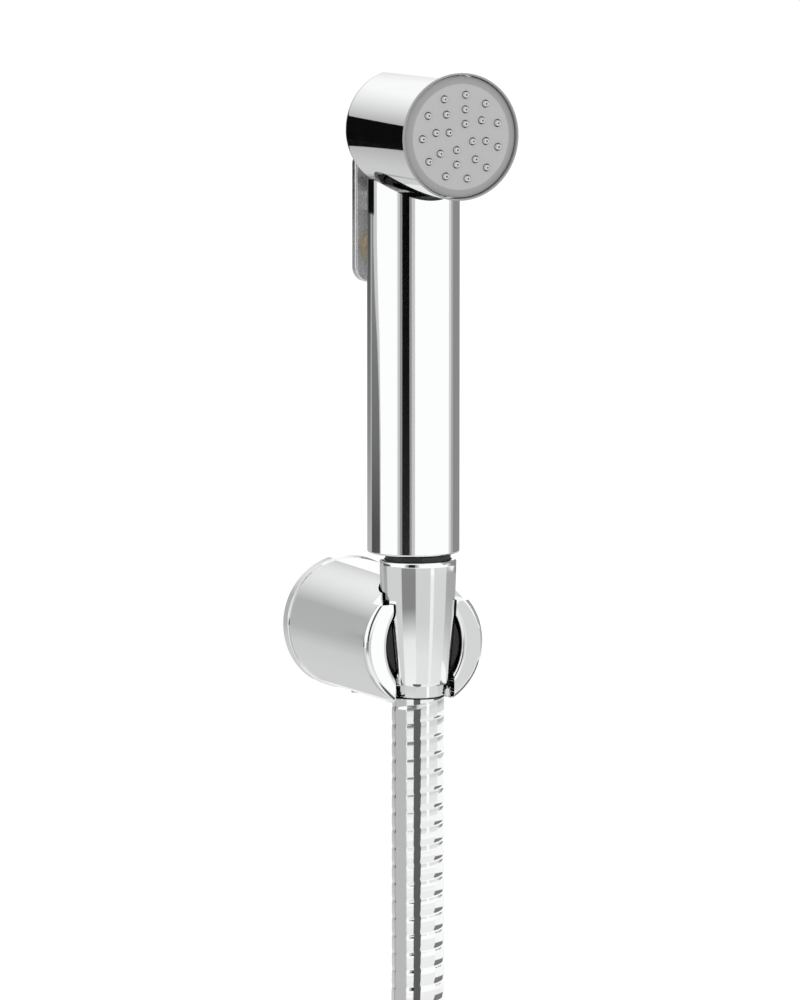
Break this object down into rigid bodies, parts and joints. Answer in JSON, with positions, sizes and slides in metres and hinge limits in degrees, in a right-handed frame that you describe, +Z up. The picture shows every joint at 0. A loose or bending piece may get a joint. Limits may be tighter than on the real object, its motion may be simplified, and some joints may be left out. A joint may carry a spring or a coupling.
{
  "type": "handheld bidet shower",
  "caption": "Chromed trigger bidet spray resting in a round wall holder, with a cone nut, a flexible metal hose and an end nut.",
  "frame": {"origin": "middle of the wall plate's back face, which lies on the wall", "axes": "+Z up along the handle, +Y into the wall, -Y the way the spray faces, +X to the right seen from the front"},
  "size_m": [0.2043, 0.0847, 0.5691],
  "materials": {
    "chrome_shell": "mirror chrome",
    "chrome_head": "mirror chrome",
    "chrome_handle": "mirror chrome",
    "chrome_nut": "bright chrome",
    "chrome_lever": "bright chrome",
    "chrome_sleeve": "bright chrome",
    "chrome_hose": "bright interlocked metal strip",
    "satin_face": "satin grey",
    "grey_plastic": "moulded",
    "black_plastic": "moulded",
    "black_rubber": "moulded",
    "pale_rubber": "soft silicone",
    "plain_steel": "plain",
    "plain_brass": "turned",
    "tie_strap": "moulded"
  },
  "bodies": {
    "handset_and_holder": {"wall_plate": "plain_steel", "holder_shell": "chrome_shell", "seat_insert": "black_plastic", "grub_screw": "plain_steel", "cone_nut": "chrome_nut", "nut_washer": "black_rubber", "inlet_nipple": "black_plastic", "handle_sleeve": "chrome_handle", "valve_body": "black_plastic", "spigot_seal": "black_rubber", "head_housing": "chrome_head", "distributor_disc": "grey_plastic", "chamber_seal": "black_rubber", "nozzle_mat": "pale_rubber", "spray_plate": "satin_face", "hinge_block": "plain_steel", "lever_pin": "plain_steel", "valve_gland": "plain_brass", "stem_seal": "black_rubber", "valve_spring": "plain_steel", "valve_plug": "plain_brass"},
    "trigger": {"trigger_lever": "chrome_lever"},
    "valve": {"valve_stem": "plain_steel", "valve_poppet": "black_rubber"},
    "hose": {"hose_sleeve_top": "chrome_sleeve", "hose_drop": "chrome_hose", "hose_coil": "chrome_hose", "hose_tail": "chrome_hose", "coil_tie_left": "tie_strap", "coil_tie_right": "tie_strap", "hose_sleeve_end": "chrome_sleeve"},
    "tap_nut": {"end_nut": "chrome_nut", "end_washer": "black_rubber"}
  },
  "joints": [
    {"name": "trigger_squeeze", "type": "hinge", "parent": "handset_and_holder", "child": "trigger", "pos_m": [0, -0.034, 0.133], "axis": [-1, 0, 0], "range_deg": [0, 10], "stiffness_Nm_per_rad": 0.6, "springref_deg": -9.17},
    {"name": "valve_push", "type": "slide", "parent": "handset_and_holder", "child": "valve", "axis": [0, -1, 0], "range_m": [0, 0.00253], "deforming": ["valve_spring"]},
    {"name": "hose_swivel", "type": "hinge", "parent": "handset_and_holder", "child": "hose", "pos_m": [0, -0.0538, 0], "axis": [0, 0, 1], "continuous": true},
    {"name": "tap_nut_turn", "type": "hinge", "parent": "hose", "child": "tap_nut", "pos_m": [-0.09, -0.01783, -0.38], "axis": [0, 0, 1], "continuous": true}
  ],
  "couplings": [
    {"joint": "valve_push", "follows": "trigger_squeeze", "m_per_rad": 0.0145}
  ]
}
